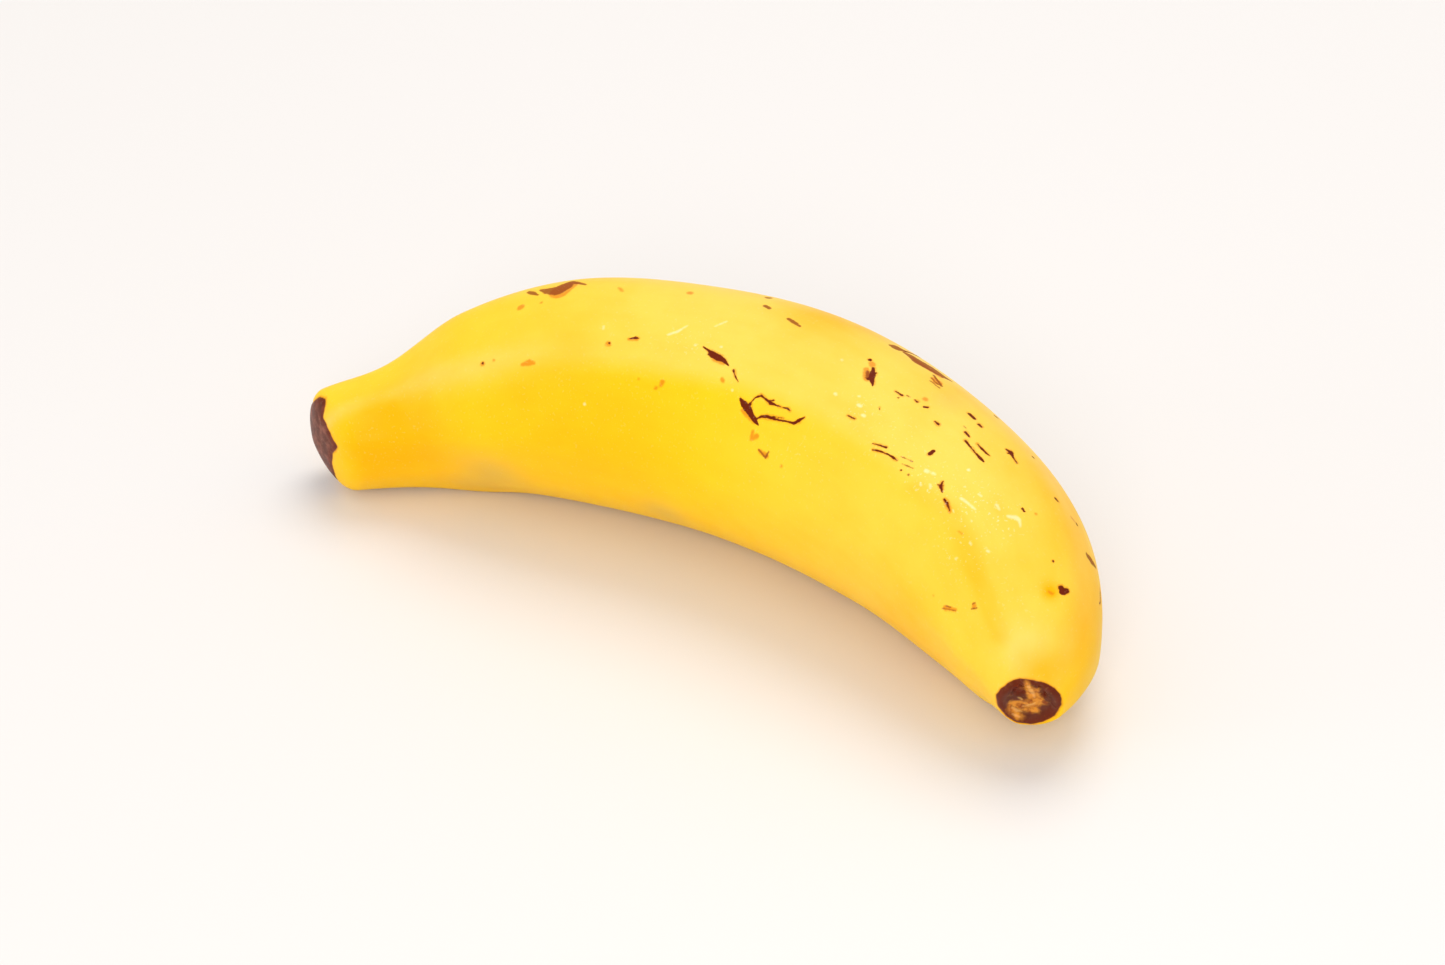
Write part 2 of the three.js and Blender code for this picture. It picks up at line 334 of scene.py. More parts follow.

# Soft patches of tone: a pixel of the photograph, the patch's radius in mm and its strength.
# Deep patches are painted shade in hollows and where less light falls, grey ones are dull bruises
# under the skin, scuffed ones have pale flecks and the last ones are painted highlights.
SHADE_PATCHES = (
    ((385, 438), 8, 0.95), ((430, 448), 9, 0.55), ((540, 430), 13, 0.5), ((630, 440), 12, 0.45),
    ((350, 455), 3, 0.25), ((1043, 673), 3.5, 0.7), ((1090, 620), 6, 0.55), ((1098, 560), 6, 0.5),
    ((1070, 480), 6, 0.45), ((870, 330), 7, 0.5), ((820, 312), 6, 0.4), ((900, 610), 8, 0.3),
    ((1051, 591), 1.4, 0.9), ((1010, 420), 6, 0.5), ((945, 385), 6, 0.3), ((1065, 530), 8, 0.5),
    ((1035, 470), 7, 0.4), ((980, 430), 7, 0.15), ((800, 325), 7, 0.3))
GREY_PATCHES = (
    ((493, 474), 5, 0.55), ((665, 514), 4, 0.5), ((997, 415), 3, 0.9), ((950, 400), 3, 0.3),
    ((475, 484), 4, 0.3))
SCUFF_PATCHES = (
    ((925, 478), 3, 1.0), ((968, 500), 4, 0.9), ((1008, 518), 3, 0.9), ((860, 408), 2.5, 0.7),
    ((690, 340), 5, 0.45), ((900, 440), 6, 0.4), ((960, 550), 5, 0.5), ((620, 330), 7, 0.25),
    ((800, 460), 8, 0.25), ((1020, 600), 6, 0.3))
LEAST_SCUFF = 0.12
# Painted highlights on the shoulder above the blossom end
HIGHLIGHT_PATCHES = (((1032, 648), 5, 0.45), ((1026, 655), 2.5, 0.3))
# The soft groove near the blossom end gets a stroke of painted shade
CREASE_SHADE = ((916, 488, 8), (952, 515, 8), (968, 547, 8), (978, 576, 8), (988, 600, 8), (999, 633, 8))
CREASE_STRENGTH = 0.35
CREASE_FADE = 0.0012
FAR_FROM_CREASE = 0.01

# Sizes of the skin's grain, in metres
SLOW_PATCHES = 0.03
MOTTLE = 0.006
STREAKS = 0.0022
STREAK_STRETCH = (0.22, 1.0, 1.0)
RAGGED_EDGE = 0.0006
COARSE_EDGE = 0.0016
DRY_FIBRE = 0.0016
WET_SWIRL = 0.0011
FLECKS = 0.00045
PORES = 0.0005
PORE_DEPTH = 0.00002
PEEL_ROUGHNESS = 0.44

# Edges in the colours, as gaps in metres that are below 0 inside. Each kind of mark has a soft
# part of its edge and a ragged one.
MARK_EDGES = {
    "amber": (0.00022, 0.0006),
    "rust": (0.00016, 0.0005),
    "dark": (0.00006, 0.00045),
    "pale": (0.00018, 0.0004),
    "pit": (0.0003, 0.0006),
}
HALO_WAVER, HALO_EDGE = 0.0009, (0.0, 0.00028)
END_WAVER, END_EDGE = 0.0005, (-0.00008, 0.0001)
END_RIM = (0.0, 0.00045)  # orange skin round the brown
END_MARGIN = (-0.0015, -0.0003)  # where the brown darkens towards its edge
CORE_WAVER, CORE_EDGE = 0.0022, (-0.0006, 0.0004)

# The table and the lamps: name, place, size and colour
TABLE_HALF = 2.0
TABLE_ROUGHNESS = 0.45
LAMPS = (
    ("window", (-0.15, 0.5, 1.0), 0.8, (1.0, 0.98, 0.95)),
    ("fill", (0.46, -0.88, 0.6), 0.5, (1.0, 0.98, 0.96)),
    ("bounce", (-0.55, -0.65, 0.16), 0.4, (1.0, 0.97, 0.92)),
)
ROOM_COLOUR = (1.0, 0.98, 0.97, 1.0)


class FruitShape(bpy.types.PropertyGroup):
    """How finely the skin is divided, and how strong its relief is."""
    rows: IntProperty(name="Rows", description="Rings of the skin along the fruit", default=210, min=40)
    columns: IntProperty(name="Columns", description="Points round each ring", default=132, min=24)
    ridge: FloatProperty(
        name="Ridges", description="Height of the five ridges, as a share of their natural height",
        default=1.0, min=0.0, max=2.0, subtype="FACTOR")
    ripple: FloatProperty(
        name="Ripple", description="Depth of the skin's slow unevenness", default=0.00012, min=0.0,
        subtype="DISTANCE", unit="LENGTH")
    seed: IntProperty(name="Seed", description="Seed of the marks on the hidden sides", default=7)


def colour_property(name, description, default):
    """A colour that the user can change."""
    return FloatVectorProperty(
        name=name, description=description, default=default, subtype="COLOR", size=3)


class FruitColours(bpy.types.PropertyGroup):
    """The colours of the skin and of its marks."""
    peel: colour_property("Peel", "Ripe skin", (0.98, 0.585, 0.008))
    # Painted light: a pale sheen on the upper face, a lighter inner side and highlights
    bloom: colour_property("Bloom", "Paler, waxy skin on the upper face", (0.98, 0.63, 0.115))
    # Painted shade in hollows and low down, also used for the random mottle and streaks
    shade: colour_property("Deep peel", "Skin in the hollows and low down", (0.93, 0.45, 0.001))
    grey: colour_property("Dull patches", "Grey bruises under the skin", (0.50, 0.38, 0.13))
    pale: colour_property("Scuffs", "Scuffed and scratched wax", (0.98, 0.86, 0.55))
    amber: colour_property("Freckles", "Soft orange freckles", (0.71, 0.22, 0.003))
    rust: colour_property("Bruises", "Red-brown bruises", (0.26, 0.045, 0.008))
    dark: colour_property("Dark marks", "Dark strokes and spots", (0.14, 0.012, 0.002))
    bark: colour_property("Ends", "Dry brown skin on the stem and the blossom end", (0.10, 0.021, 0.011))
    dry: colour_property("Dry fibre", "Paler streaks on the brown ends", (0.25, 0.078, 0.05))
    core: colour_property("Blossom core", "Wet amber in the middle of the blossom end", (0.70, 0.27, 0.03))
    # Partly golden colour, partly painted glints on the wet core
    gold_and_glint: colour_property("Blossom streaks", "Golden streaks in the wet core", (0.90, 0.50, 0.15))


class TableAndLight(bpy.types.PropertyGroup):
    """The table under the fruit and the light on it."""
    table: colour_property("Table", "Pale table top", (0.78, 0.76, 0.745))
    window: FloatProperty(
        name="Window", description="Power of the large soft light", default=4.7, unit="POWER")
    fill: FloatProperty(
        name="Fill", description="Power of the light from the front", default=5.0, unit="POWER")
    bounce: FloatProperty(
        name="Bounce", description="Power of the low light from the left", default=1.0, unit="POWER")
    room: FloatProperty(name="Room", description="Strength of the light from the room", default=0.78)


def station(key, along):
    """A smooth curve through one value of the stations, read at shares of the spine."""
    at = np.array([row[0] for row in STATIONS])
    value = np.array([row[STATION_KEYS.index(key)] for row in STATIONS], float)
    slope = np.empty(len(at))
    slope[1:-1] = (value[2:] - value[:-2]) / (at[2:] - at[:-2])
    slope[0] = (value[1] - value[0]) / (at[1] - at[0])
    slope[-1] = (value[-1] - value[-2]) / (at[-1] - at[-2])
    i = np.clip(np.searchsorted(at, along, side="right") - 1, 0, len(at) - 2)
    span = at[i + 1] - at[i]
    t = (along - at[i]) / span
    rise = t * t * (3 - 2 * t)
    leave = t * (1 - t) ** 2 * span * slope[i]
    arrive = t * t * (1 - t) * span * slope[i + 1]
    return value[i] + (value[i + 1] - value[i]) * rise + leave - arrive


def spine(along):
    """Points of the spine in plan, with the chord from stem to tip along X."""
    steps = np.linspace(0, 1, SPINE_STEPS + 1)
    turn = np.radians(station("heading", (steps[1:] + steps[:-1]) / 2))
    x = np.concatenate(([0], np.cumsum(np.cos(turn)))) * SPINE_LENGTH / SPINE_STEPS
    y = np.concatenate(([0], np.cumsum(np.sin(turn)))) * SPINE_LENGTH / SPINE_STEPS
    chord = math.atan2(y[-1], x[-1])
    px, py = np.interp(along, steps, x), np.interp(along, steps, y)
    return px * math.cos(chord) + py * math.sin(chord), py * math.cos(chord) - px * math.sin(chord), chord


def lowest_reach(relief, twist):
    """How far a ring reaches below its centre, as a share of its radius."""
    angle = np.arange(0, 360, ANGLE_STEP)
    reach = np.ones((len(relief), len(angle)))
    for ridge, strength in RIDGES:
        away = (angle[None] - ridge - twist[:, None] + 180) % 360 - 180
        reach += relief[:, None] * strength / (1 + (away / RIDGE_WIDTH) ** 2)
    reach /= reach.mean(axis=1)[:, None]
    return (-reach * np.sin(np.radians(angle))).max(axis=1)


def ring_facts(along, middle=(0.0, 0.0)):
    """What the wrapping needs to know of the ring at each share of the spine."""
    x, y, chord = spine(along)
    turn = np.radians(station("heading", along)) - chord
    tilt = np.radians(station("tilt", along))
    radius = station("radius", along)
    relief, twist = station("relief", along), station("twist", along)
    height = radius * lowest_reach(relief, twist) * np.cos(tilt) + station("gap", along)
    zero = np.zeros(len(along))
    forward = np.stack((np.cos(turn) * np.cos(tilt), np.sin(turn) * np.cos(tilt), np.sin(tilt)), 1)
    inner = np.stack((np.sin(turn), -np.cos(turn), zero), 1)
    sag = sum(np.exp(-(((along - spot) * SPINE_LENGTH / REST_LENGTH) ** 2)) for spot in REST_SPOTS)
    return {
        "centre": np.stack((x - middle[0], y - middle[1], height), 1),
        "forward": forward,
        "inner": inner,
        "up": np.cross(inner, forward),
        "radius": radius - SKIN_INSET,
        "relief": relief,
        "twist": twist,
        "slant": math.tan(math.radians(CUT_SKEW)) * np.maximum(0, 1 - along / CUT_REACH) ** 2,
        "sag": sag * REST_DEPTH,
    }


def store(mesh, name, values):
    """Keeps one value or vector for each point of the mesh."""
    values = np.asarray(values, np.float32)
    vector = values.ndim == 2
    layer = mesh.attributes.get(name)
    if layer is None:
        layer = mesh.attributes.new(name, "FLOAT_VECTOR" if vector else "FLOAT", "POINT")
    layer.data.foreach_set("vector" if vector else "value", values.ravel())


def fetch(mesh, name):
    """Reads one value for each point of the mesh."""
    values = np.empty(len(mesh.vertices), np.float32)
    mesh.attributes[name].data.foreach_get("value", values)
    return values


def points_of(mesh):
    """The places of the mesh's points."""
    co = np.empty(len(mesh.vertices) * 3)
    mesh.vertices.foreach_get("co", co)
    return co.reshape(-1, 3)


def face_rows(face, count):
    """Circles over an end face: even steps along its outline, as sizes and heights."""
    sizes, heights = np.array(face, float).T
    run = np.abs(np.diff(sizes)) + np.abs(np.diff(heights)) * FACE_HEIGHT_WEIGHT
    steps = np.concatenate(([0], np.cumsum(run)))
    at = np.linspace(0, steps[-1], count + 1)
    return np.interp(at, steps, sizes), np.interp(at, steps, heights) * MM


def skin_sheet(rows, columns):
    """The flat sheet that becomes the skin. It is only wrapped, never seen flat."""
    stem_size, stem_height = face_rows(STEM_FACE, STEM_CIRCLES)
    tip_size, tip_height = face_rows(TIP_FACE, TIP_CIRCLES)
    even = np.linspace(0, 1, rows)
    body = even - RING_CROWDING * np.sin(2 * math.pi * even) / (2 * math.pi)
    along = np.concatenate((np.zeros(STEM_CIRCLES), body, np.ones(TIP_CIRCLES)))
    size = np.concatenate((stem_size[:-1], np.ones(rows), tip_size[1:]))
    push = np.concatenate((-stem_height[:-1], np.zeros(rows), tip_height[1:]))
    around = SEAM_ANGLE + np.linspace(0, 360, columns + 1)
    count = len(along)
    index = np.arange(count * (columns + 1)).reshape(count, columns + 1)
    faces = np.stack((index[:-1, :-1], index[1:, :-1], index[1:, 1:], index[:-1, 1:]), -1).reshape(-1, 4)
    mesh = bpy.data.meshes.new("skin_sheet")
    grid = np.stack(np.meshgrid(around / 360, np.arange(count) / count), -1).reshape(-1, 2)
    mesh.from_pydata([(u, v, 0) for u, v in grid], [], faces.tolist())
    store(mesh, "along", np.repeat(along, columns + 1))
    store(mesh, "size", np.repeat(size, columns + 1))
    store(mesh, "push", np.repeat(push, columns + 1))
    store(mesh, "around", np.tile(around, count))
    return mesh


def know_rings(mesh, middle=(0.0, 0.0)):
    """Stores the ring's facts for each point of the sheet."""
    for name, values in ring_facts(fetch(mesh, "along").astype(float), middle).items():
        store(mesh, name, values)


def unrolled(points, end, middle):
    """The skin round an end, 0 or 1, laid out flat: inwards and upwards of that end's own ring."""
    facts = ring_facts(np.array([float(end)]), middle)
    away = points - facts["centre"]
    inwards, upwards = away @ facts["inner"][0], away @ facts["up"][0]
    back = (away @ facts["forward"][0] - facts["slant"][0] * inwards) * (1 - 2 * end)
    reach = np.maximum(np.hypot(inwards, upwards), 1e-7)
    return np.stack((inwards, upwards), 1) * (1 + np.maximum(back, 0) / reach)[:, None]


def outline_gap(points, outline):
    """How far flat points lie outside a closed outline. It is below 0 inside."""
    gap = np.full(len(points), 1.0)
    within = np.zeros(len(points), bool)
    for a, b in zip(outline, np.roll(outline, -1, axis=0)):
        run = b - a
        t = np.clip((points - a) @ run / (run @ run), 0, 1)
        np.minimum(gap, np.linalg.norm(points - a - t[:, None] * run, axis=1), out=gap)
        crosses = (a[1] > points[:, 1]) != (b[1] > points[:, 1])
        within ^= crosses & (points[:, 0] < a[0] + (points[:, 1] - a[1]) * run[0] / (run[1] or 1e-9))
    return np.where(within, -gap, gap)


class Tree:
    """A small helper that adds nodes to a node tree and links their sockets."""

    def __init__(self, tree):
        self.tree = tree
        self.column = 0

    def add(self, kind, inputs=(), **settings):
        """A node with its settings, whose inputs are given as values or as other sockets."""
        node = self.tree.nodes.new(kind)
        self.column += 1
        node.location = (self.column % 24 * 180, -(self.column // 24) * 240)
        for name, value in settings.items():
            setattr(node, name, value)
        for key, value in dict(inputs).items():
            self.give(node.inputs[key], value)
        return node

    def give(self, socket, value):
        """Gives an input a value, or a link from another node."""
        if isinstance(value, bpy.types.NodeSocket):
            self.tree.links.new(value, socket)
        else:
            socket.default_value = value

    def math(self, operation, *values):
        """The result of one step of arithmetic."""
        return self.add("ShaderNodeMath", dict(enumerate(values)), operation=operation).outputs[0]

    def vector(self, operation, *values):
        """The result of one step of vector arithmetic."""
        node = self.add("ShaderNodeVectorMath", dict(enumerate(values)), operation=operation)
        return node.outputs[0]

    def scale(self, vector, factor):
        """A vector made longer or shorter."""
        inputs = {0: vector, "Scale": factor}
        return self.add("ShaderNodeVectorMath", inputs, operation="SCALE").outputs[0]

    def attribute(self, name, kind="FLOAT"):
        """A value or vector that the sheet holds for each of its points."""
        node = self.add("GeometryNodeInputNamedAttribute", {"Name": name}, data_type=kind)
        return next(s for s in node.outputs if s.enabled and s.name == "Attribute")


def wrap_tree():
    """The Geometry Nodes tree that wraps the sheet round the spine."""
    group = bpy.data.node_groups.new("Wrap the skin", "GeometryNodeTree")
    group.interface.new_socket("Geometry", in_out="INPUT", socket_type="NodeSocketGeometry")
    for name, kind, default in (
        ("Ridge height", "NodeSocketFloat", 1.0),
        ("Ridge width", "NodeSocketFloat", float(RIDGE_WIDTH)),
        ("Crest width", "NodeSocketFloat", CREST_WIDTH),
        ("Hollow faces", "NodeSocketFloat", HOLLOW_FACES),
        ("Rest height", "NodeSocketFloat", REST_HEIGHT),
        ("Ripple depth", "NodeSocketFloat", 0.0),
        ("Ripple size", "NodeSocketFloat", RIPPLE_SIZE),
        ("Seed", "NodeSocketInt", 0),
        ("Close the seam", "NodeSocketBool", True),
        ("Material", "NodeSocketMaterial", None),
    ):
        socket = group.interface.new_socket(name, in_out="INPUT", socket_type=kind)
        if default is not None:
            socket.default_value = default
    group.interface.new_socket("Geometry", in_out="OUTPUT", socket_type="NodeSocketGeometry")
    t = Tree(group)
    given = t.add("NodeGroupInput").outputs

    # The ridges: each adds a soft bump to the ring's outline
    around, twist = t.attribute("around"), t.attribute("twist")
    relief = t.math("MULTIPLY", t.attribute("relief"), given["Ridge height"])
    total, crest = 0.0, 0.0
    for angle, strength in RIDGES:
        away = t.math("SUBTRACT", t.math("SUBTRACT", around, float(angle)), twist)
        away = t.math("WRAP", away, 180.0, -180.0)
        wide = t.math("DIVIDE", away, given["Ridge width"])
        bump = t.math("DIVIDE", strength, t.math("ADD", 1.0, t.math("MULTIPLY", wide, wide)))
        total = t.math("ADD", total, bump)
        fine = t.math("DIVIDE", away, given["Crest width"])
        fine = t.math("EXPONENT", t.math("MULTIPLY", t.math("MULTIPLY", fine, fine), -1.0))
        crest = t.math("ADD", crest, fine)
    # The mean of all bumps round the ring, so that ridges don't make the fruit fatter
    reach_of_bump = t.math("ARCTANGENT", t.math("DIVIDE", 180.0, given["Ridge width"]))
    share = t.math("DIVIDE", t.math("MULTIPLY", reach_of_bump, given["Ridge width"]), 180.0)
    mean = t.math("MULTIPLY", share, sum(strength for angle, strength in RIDGES))
    raised = t.math("MULTIPLY_ADD", relief, total, 1.0)
    reach = t.math("DIVIDE", raised, t.math("MULTIPLY_ADD", relief, mean, 1.0))
    # The faces between the ridges are a little hollow, so the crests are crisper
    hollow = t.math("SUBTRACT", 1.0, t.math("MINIMUM", crest, 1.0))
    hollow = t.math("MULTIPLY", hollow, t.math("MULTIPLY", relief, given["Hollow faces"]))
    reach = t.math("MULTIPLY", reach, t.math("SUBTRACT", 1.0, hollow))

    # The place of each point on its ring
    spread = t.math("MULTIPLY", t.math("MULTIPLY", reach, t.attribute("radius")), t.attribute("size"))
    turn = t.math("RADIANS", around)
    inwards = t.math("MULTIPLY", spread, t.math("COSINE", turn))
    upwards = t.math("MULTIPLY", spread, t.math("SINE", turn))
    onwards = t.math("MULTIPLY_ADD", inwards, t.attribute("slant"), t.attribute("push"))
    place = t.attribute("centre", "FLOAT_VECTOR")
    for direction, length in (("inner", inwards), ("up", upwards), ("forward", onwards)):
        place = t.vector("ADD", place, t.scale(t.attribute(direction, "FLOAT_VECTOR"), length))

    # The skin sags at the rest spots and is pressed flat on the table
    split = t.add("ShaderNodeSeparateXYZ", {0: place}).outputs
    lift = t.math("DIVIDE", split[2], given["Rest height"])
    fade = t.math("EXPONENT", t.math("MULTIPLY", t.math("MULTIPLY", lift, lift), -1.0))
    settled = t.math("SUBTRACT", split[2], t.math("MULTIPLY", t.attribute("sag"), fade))
    settled = t.math("MAXIMUM", settled, 0.0)
    place = t.add("ShaderNodeCombineXYZ", {0: split[0], 1: split[1], 2: settled}).outputs[0]
    moved = {"Geometry": given["Geometry"], "Position": place}
    laid = t.add("GeometryNodeSetPosition", moved).outputs[0]

    # The seam and the poles are closed before the relief, so that normals agree across them
    merged = t.add("GeometryNodeMergeByDistance", {"Geometry": laid, "Distance": SEAM_MERGE}).outputs[0]
    choice = {0: given["Close the seam"], 1: laid, 2: merged}
    closed = t.add("GeometryNodeSwitch", choice, input_type="GEOMETRY").outputs[0]

    # Slow ripples and dimples only ever go in, so the fruit stays inside its solid
    here = t.add("GeometryNodeInputPosition").outputs[0]
    fineness = t.math("DIVIDE", 1.0, given["Ripple size"])
    waves = {"Vector": here, "W": given["Seed"], "Scale": fineness, "Detail": 2.0}
    ripple = t.add("ShaderNodeTexNoise", waves, noise_dimensions="4D").outputs[0]
    depth = t.math("MULTIPLY_ADD", ripple, given["Ripple depth"], t.attribute("dent"))
    above = t.add("ShaderNodeSeparateXYZ", {0: here}).outputs[2]
    clear = t.math("MINIMUM", t.math("DIVIDE", above, RELIEF_CLEARANCE), 1.0)
    depth = t.math("MULTIPLY", depth, clear)
    shift = t.scale(t.add("GeometryNodeInputNormal").outputs[0], t.math("MULTIPLY", depth, -1.0))
    dented = t.add("GeometryNodeSetPosition", {"Geometry": closed, "Offset": shift}).outputs[0]
    smooth = t.add("GeometryNodeSetShadeSmooth", {"Geometry": dented}).outputs[0]
    real = t.add("GeometryNodeRealizeInstances", {"Geometry": smooth}).outputs[0]
    coloured = t.add("GeometryNodeSetMaterial", {"Geometry": real, "Material": given["Material"]}).outputs[0]
    t.add("NodeGroupOutput", {"Geometry": coloured})
    return group


def wrapped(sheet, tree, shape, material, close):
    """Wraps the sheet and returns the plain mesh that comes out."""
    worker = bpy.data.objects.new("skin_worker", sheet)
    bpy.context.scene.collection.objects.link(worker)
    modifier = worker.modifiers.new("Wrap the skin", "NODES")
    modifier.node_group = tree
    sockets = {s.name: s.identifier for s in tree.interface.items_tree if s.in_out == "INPUT"}
    modifier[sockets["Ridge height"]] = shape.ridge
    modifier[sockets["Ripple depth"]] = shape.ripple if close else 0.0
    modifier[sockets["Seed"]] = shape.seed
    modifier[sockets["Close the seam"]] = close
    modifier[sockets["Material"]] = material
    done = worker.evaluated_get(bpy.context.evaluated_depsgraph_get())
    mesh = bpy.data.meshes.new_from_object(done)
    bpy.data.objects.remove(worker)
    return mesh


def view_turn():
    """How the camera is turned."""
    return Euler((math.radians(90 - VIEW_ELEVATION), 0, math.radians(VIEW_TURN)))


def view_place():
    """Where the camera stands."""
    return Vector(LOOK_AT) + view_turn().to_matrix() @ Vector((0, 0, VIEW_DISTANCE))


class PhotoPencil:
    """Puts pixels of the photograph onto the skin, along the camera's lines of sight."""

    def __init__(self, mesh):
        faces = [tuple(face.vertices) for face in mesh.polygons]
        self.tree = BVHTree.FromPolygons([v.co for v in mesh.vertices], faces)
        self.eye = view_place()
        self.turn = view_turn().to_matrix()
        self.focal = LENS / SENSOR * PHOTO_WIDTH

    def point(self, x, y):
        """The skin under a pixel, or the skin nearest to its line of sight."""
        line = self.turn @ Vector((x - PHOTO_WIDTH / 2, PHOTO_HEIGHT / 2 - y, -self.focal))
        line.normalize()
        hit = self.tree.ray_cast(self.eye, line)[0]
        if hit is not None:
            return hit
        closest = self.eye + line * VIEW_DISTANCE
        for step in range(4):
            on_skin = self.tree.find_nearest(closest)[0]
            closest = self.eye + line * (on_skin - self.eye).dot(line)
        return on_skin

    def stroke(self, mark):
        """A stroke as places on the skin and half-widths. Where the skin slants away it is wider."""
        run = Vector((mark[-1][0] - mark[0][0], mark[-1][1] - mark[0][1])).normalized()
        line = []
        for x, y, width in mark:
            across = Vector((-run.y, run.x)) * width / 2
            sides = [self.point(x + way * across.x, y + way * across.y) for way in (-1, 1)]
            place = self.point(x, y)
            flat = width / self.focal * (place - self.eye).length
            line.append((place, min((sides[1] - sides[0]).length, WIDEST_STROKE * flat) / 2))
        return line


def gap_to(points, strokes, limit):
    """How far each point lies outside the nearest stroke. It is below 0 inside the stroke."""
    gap = np.full(len(points), limit)
    for stroke in strokes:
        for (start, near), (end, far) in zip(stroke, stroke[1:]):
            a, b = np.array(start), np.array(end)
            run = b - a
            length = max(run @ run, 1e-12)
            t = np.clip((points - a) @ run / length, 0, 1)
            away = np.linalg.norm(points - a - t[:, None] * run, axis=1)
            np.minimum(gap, away - near - (far - near) * t, out=gap)
    return gap


def hidden_marks(mesh, seed):
    """Marks for the sides that the photograph doesn't show: dots and short bent streaks."""
    draw = random.Random(seed)
    along, around = fetch(mesh, "along"), fetch(mesh, "around")
    points = points_of(mesh)

    def on_skin(place, angle):
        away = (around - angle + 180) % 360 - 180
        gap = ((along - place) * SPINE_RADII) ** 2 + (away / RADIUS_ANGLE) ** 2
        return Vector(points[np.argmin(gap)])

    def streak(place, angle, length, width):
        turn = draw.gauss(*STREAK_TURN) * length / STREAK_LENGTH
        bend = draw.gauss(*STREAK_BEND)
        return [
            (on_skin(place + t * length / SPINE_LENGTH, angle + t * turn + t * t * bend), width * share)
            for t, share in (STREAK_SHAPE if length > DOT_LENGTH else DOT_SHAPE)]

    # Most marks are short, and a long dark one has a wider freckle under it
    marks = {"dark": [], "rust": [], "amber": [], "pale": []}
    for kind, count, width, longest in HIDDEN_MARKS:
        for i in range(count):
            place, angle = draw.uniform(*HIDDEN_PLACES), draw.uniform(*HIDDEN_ANGLES)
            length = longest * draw.random() ** 2.5
            fat = width * draw.uniform(0.5, 1.4)
            marks[kind].append(streak(place, angle, length, fat))
            if kind == "dark" and length > longest / 3:
                marks["amber"].append(streak(place, angle + 2, length / 2, fat * 2))
    return marks


def end_gaps(mesh, pencil, middle):
    """How far each point lies outside the brown of its end."""
    points, along = points_of(mesh), fetch(mesh, "along")
    far = [(math.radians(angle), radius * MM) for angle, radius in STEM_FAR_EDGE]
    far = np.array([(radius * math.cos(angle), radius * math.sin(angle)) for angle, radius in far])
    near = unrolled(np.array([pencil.point(x, y) for x, y in STEM_EDGE]), 0, middle)
    stem = outline_gap(unrolled(points, 0, middle), np.concatenate((near, far)))
    disc = unrolled(np.array([pencil.point(x, y) for x, y in TIP_EDGE]), 1, middle)
    tip = outline_gap(unrolled(points, 1, middle), disc) - DISC_GROWTH
    return np.where(along < 0.5, stem, tip)


def patches(points, pencil, wanted):
    """The strength of soft round patches of tone."""
    total = np.zeros(len(points))
    for (x, y), reach, strength in wanted:
        away = np.linalg.norm(points - np.array(pencil.point(x, y)), axis=1)
        total += strength * np.exp(-((away / (reach * MM)) ** 2))
    return total


def ramp(values, start, end):
    """0 at the start, 1 at the end, smooth between."""
    t = np.clip((values - start) / (end - start), 0, 1)
    return t * t * (3 - 2 * t)


def painted_light_on(mesh):
    """How much painted light lies on the skin.

    A painted sheen lies on the upper face from the second ridge and fades past the third. The side that
    faces the inside of the curve has less, and a painted highlight runs along the second ridge near the
    stem.
    """
    along = fetch(mesh, "along")
    angle = (fetch(mesh, "around") - fetch(mesh, "twist") + 90) % 360 - 90
    crest = RIDGES[1][0]
    upper = ramp(angle, crest - 7, crest + 5) * (1 - ramp(angle, 105, 150))
    face = 0.15 + 0.6 * ramp(along, 0.15, 0.45) - 0.25 * ramp(along, 0.8, 1.0)
    side = 0.4 * ramp(along, 0.45, 0.8) * (1 - ramp(np.abs(angle - 20), 40, 90))
    # A painted highlight along the second ridge near the stem
    ridge_highlight = 0.75 * np.exp(-(((angle - crest - 2) / 10) ** 2)) * (1 - ramp(along, 0.15, 0.4))
    return upper * face + (1 - upper) * side + ridge_highlight


def straightened(mesh):
    """Where each point would lie on a straight fruit, so that fine streaks can run along it."""
    turn = np.radians(fetch(mesh, "around"))
    reach = fetch(mesh, "size") * fetch(mesh, "radius")
    length = fetch(mesh, "along") * SPINE_LENGTH
    return np.stack((length, reach * np.cos(turn), reach * np.sin(turn)), 1)


def inside(gap, soft):
    """1 well inside a mark, 0 outside, smooth over its edge."""
    return 1 - ramp(gap, -soft, soft)


def dents(points, pencil, gaps):
    """How deep each point is pressed in: dimples, dry marks and the edges of the brown ends."""
    dent = np.zeros(len(points))
    for (x, y), reach, depth in DIMPLES:
        away = np.linalg.norm(points - np.array(pencil.point(x, y)), axis=1)
        dent += depth * np.exp(-((away / reach) ** 2))
    dent += DRY_MARK_DEPTH * inside(gaps["dark"], DRY_MARK_EDGE)
    dent += BRUISE_DEPTH * inside(gaps["rust"], BRUISE_EDGE)
    dent += END_GROOVE_DEPTH * np.exp(-((gaps["end"] / END_GROOVE_WIDTH) ** 2))
    dent += PIT_DEPTH * inside(gaps["pit"], PIT_EDGE)
    return dent


def refine(mesh, strokes, reaches):
    """Halves the sheet's faces near the strokes, once for each reach."""
    skin = bmesh.new()
    skin.from_mesh(mesh)
    for reach in reaches:
        points = np.array([v.co for v in skin.verts])
        near = gap_to(points, strokes, 1.0) < reach
        skin.verts.ensure_lookup_table()
        edges = [e for e in skin.edges if near[e.verts[0].index] or near[e.verts[1].index]]
        bmesh.ops.subdivide_edges(skin, edges=edges, cuts=1, use_grid_fill=True)
        skin.verts.index_update()
    skin.to_mesh(mesh)
    skin.free()


def band(t, value, low, high):
    """0 below low, 1 above high, and smooth between."""
    inputs = {"Value": value, "From Min": low, "From Max": high}
    return t.add("ShaderNodeMapRange", inputs, interpolation_type="SMOOTHSTEP").outputs[0]


def mixed(t, factor, under, over):
    """One colour over another."""
    node = t.add("ShaderNodeMix", data_type="RGBA")
    for name, value in (("Factor", factor), ("A", under), ("B", over)):
        t.give(next(s for s in node.inputs if s.name == name and s.enabled), value)
    return next(s for s in node.outputs if s.enabled)


